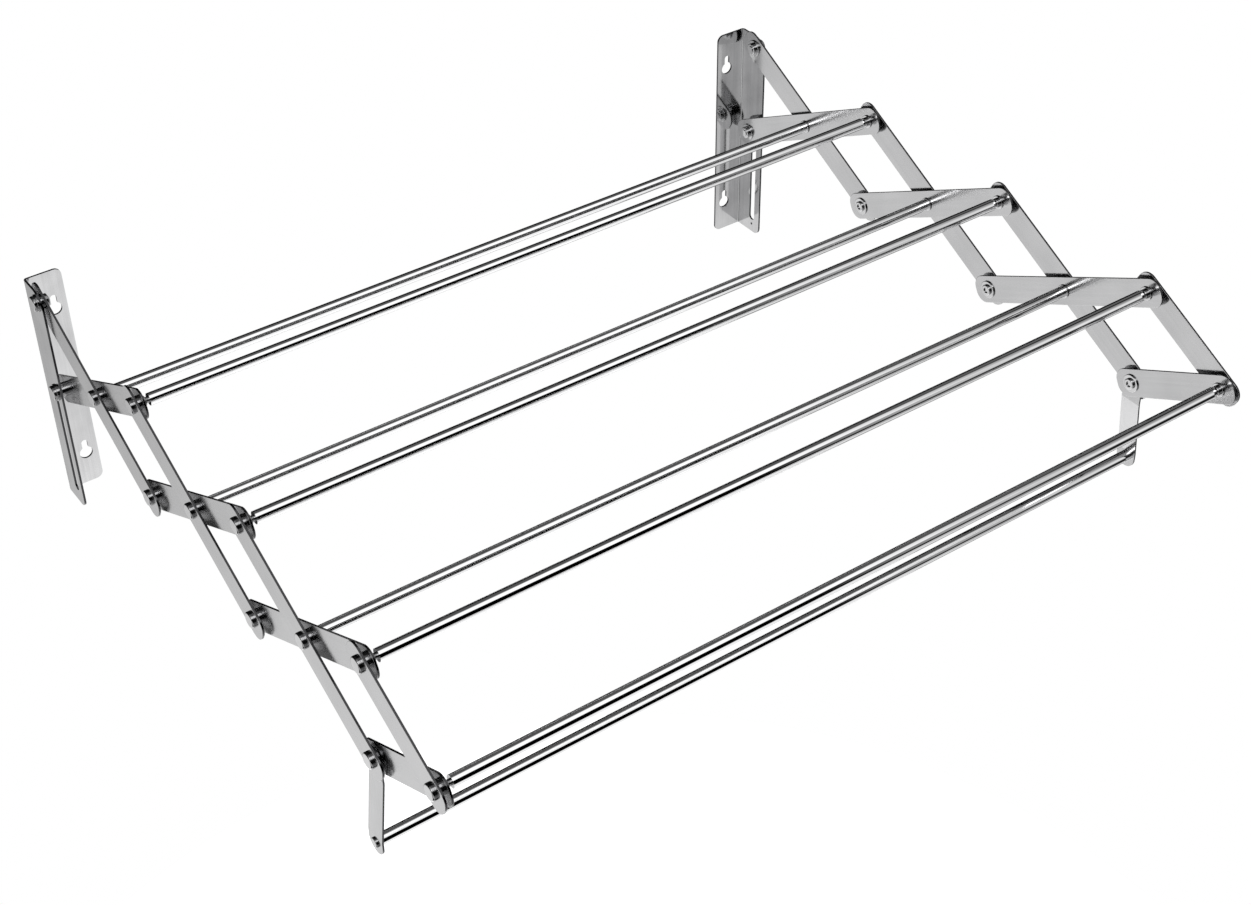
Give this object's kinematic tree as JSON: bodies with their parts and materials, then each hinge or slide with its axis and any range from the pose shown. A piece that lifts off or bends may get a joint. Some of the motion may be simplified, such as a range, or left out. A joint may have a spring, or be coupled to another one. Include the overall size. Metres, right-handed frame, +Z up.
{
  "type": "wall mounted fold down drying rack",
  "caption": "Wall mounted metal drying rack whose rods fold flat against the wall on a pair of scissor linkages, with a hanging rod at the front.",
  "frame": {"origin": "centre of the four keyholes, in the plane of the wall", "axes": "+X along the wall and the rods, +Z up, the rack reaches out from the wall along -Y"},
  "size_m": [0.6004, 0.5165, 0.1789],
  "materials": {
    "bracket_steel": "polished",
    "arm_steel": "satin",
    "rod_chrome": "polished",
    "fastener_steel": "polished"
  },
  "bodies": {
    "wall_brackets": {"left_bracket": "bracket_steel", "right_bracket": "bracket_steel", "wall_pivot_bolts": "fastener_steel", "wall_pivot_washers": "fastener_steel", "wall_pivot_nuts": "fastener_steel"},
    "outer_arms_1": {"left_outer_arm_1": "arm_steel", "right_outer_arm_1": "arm_steel", "low_pivot_1_rivets": "fastener_steel", "low_pivot_1_washers": "fastener_steel"},
    "inner_arms_1": {"left_inner_arm_1": "arm_steel", "right_inner_arm_1": "arm_steel", "drying_rod_1": "rod_chrome", "drying_rod_2": "rod_chrome", "rod_plugs_1": "fastener_steel", "rod_bolts_1": "fastener_steel", "rod_washers_1": "fastener_steel", "rod_lock_nuts_1": "fastener_steel", "slide_bolts": "fastener_steel", "slide_washers": "fastener_steel", "slide_nuts": "fastener_steel"},
    "outer_arms_2": {"left_outer_arm_2": "arm_steel", "right_outer_arm_2": "arm_steel", "low_pivot_2_rivets": "fastener_steel", "low_pivot_2_washers": "fastener_steel"},
    "inner_arms_2": {"left_inner_arm_2": "arm_steel", "right_inner_arm_2": "arm_steel", "drying_rod_3": "rod_chrome", "drying_rod_4": "rod_chrome", "rod_plugs_2": "fastener_steel", "rod_bolts_2": "fastener_steel", "rod_washers_2": "fastener_steel", "rod_lock_nuts_2": "fastener_steel"},
    "outer_arms_3": {"left_outer_arm_3": "arm_steel", "right_outer_arm_3": "arm_steel"},
    "inner_arms_3": {"left_inner_arm_3": "arm_steel", "right_inner_arm_3": "arm_steel", "drying_rod_5": "rod_chrome", "drying_rod_6": "rod_chrome", "rod_plugs_3": "fastener_steel", "rod_bolts_3": "fastener_steel", "rod_washers_3": "fastener_steel", "rod_lock_nuts_3": "fastener_steel"},
    "outer_arms_4": {"left_outer_arm_4": "arm_steel", "right_outer_arm_4": "arm_steel"},
    "inner_arms_4": {"left_inner_arm_4": "arm_steel", "right_inner_arm_4": "arm_steel", "drying_rod_7": "rod_chrome", "rod_plugs_4": "fastener_steel", "rod_bolts_4": "fastener_steel", "rod_washers_4": "fastener_steel", "rod_lock_nuts_4": "fastener_steel"},
    "hanger_pivots": {"hanger_pivot_rivets": "fastener_steel", "hanger_pivot_washers": "fastener_steel"},
    "hanger": {"left_hanger_strip": "arm_steel", "right_hanger_strip": "arm_steel", "hanging_rod": "rod_chrome", "hanging_rod_plugs": "fastener_steel", "hanging_rod_screws": "fastener_steel"}
  },
  "joints": [
    {"name": "fold", "type": "hinge", "parent": "wall_brackets", "child": "outer_arms_1", "pos_m": [0, -0.019, 0.0815], "axis": [1, 0, 0], "range_deg": [0, 50]},
    {"name": "crossing_1", "type": "hinge", "parent": "outer_arms_1", "child": "inner_arms_1", "pos_m": [0, -0.08819, 0.04548], "axis": [1, 0, 0], "range_deg": [-100, 0]},
    {"name": "low_pivot_1_turn", "type": "hinge", "parent": "outer_arms_1", "child": "inner_arms_2", "pos_m": [0, -0.15737, 0.00947], "axis": [1, 0, 0], "range_deg": [-100, 0]},
    {"name": "crossing_2", "type": "hinge", "parent": "inner_arms_2", "child": "outer_arms_2", "pos_m": [0, -0.22656, 0.04548], "axis": [1, 0, 0], "range_deg": [0, 100]},
    {"name": "upper_pivot_2_turn", "type": "hinge", "parent": "inner_arms_2", "child": "outer_arms_3", "pos_m": [0, -0.29575, 0.0815], "axis": [1, 0, 0], "range_deg": [0, 100]},
    {"name": "crossing_3", "type": "hinge", "parent": "outer_arms_3", "child": "inner_arms_3", "pos_m": [0, -0.36493, 0.04548], "axis": [1, 0, 0], "range_deg": [-100, 0]},
    {"name": "front_low_pivot_turn", "type": "hinge", "parent": "outer_arms_3", "child": "inner_arms_4", "pos_m": [0, -0.43412, 0.00947], "axis": [1, 0, 0], "range_deg": [-100, 0]},
    {"name": "crossing_4", "type": "hinge", "parent": "inner_arms_4", "child": "outer_arms_4", "pos_m": [0, -0.50331, 0.04548], "axis": [1, 0, 0], "range_deg": [0, 100]},
    {"name": "hanger_pivot_turn", "type": "hinge", "parent": "outer_arms_3", "child": "hanger_pivots", "pos_m": [0, -0.43412, 0.00947], "axis": [1, 0, 0], "range_deg": [-50, 0]},
    {"name": "hanger_swing", "type": "hinge", "parent": "hanger_pivots", "child": "hanger", "pos_m": [0, -0.43412, 0.00947], "axis": [1, 0, 0], "range_deg": [-45, 45]}
  ],
  "couplings": [
    {"joint": "crossing_1", "follows": "fold", "ratio": -2},
    {"joint": "low_pivot_1_turn", "follows": "fold", "ratio": -2},
    {"joint": "crossing_2", "follows": "fold", "ratio": 2},
    {"joint": "upper_pivot_2_turn", "follows": "fold", "ratio": 2},
    {"joint": "crossing_3", "follows": "fold", "ratio": -2},
    {"joint": "front_low_pivot_turn", "follows": "fold", "ratio": -2},
    {"joint": "crossing_4", "follows": "fold", "ratio": 2},
    {"joint": "hanger_pivot_turn", "follows": "fold", "ratio": -1}
  ]
}
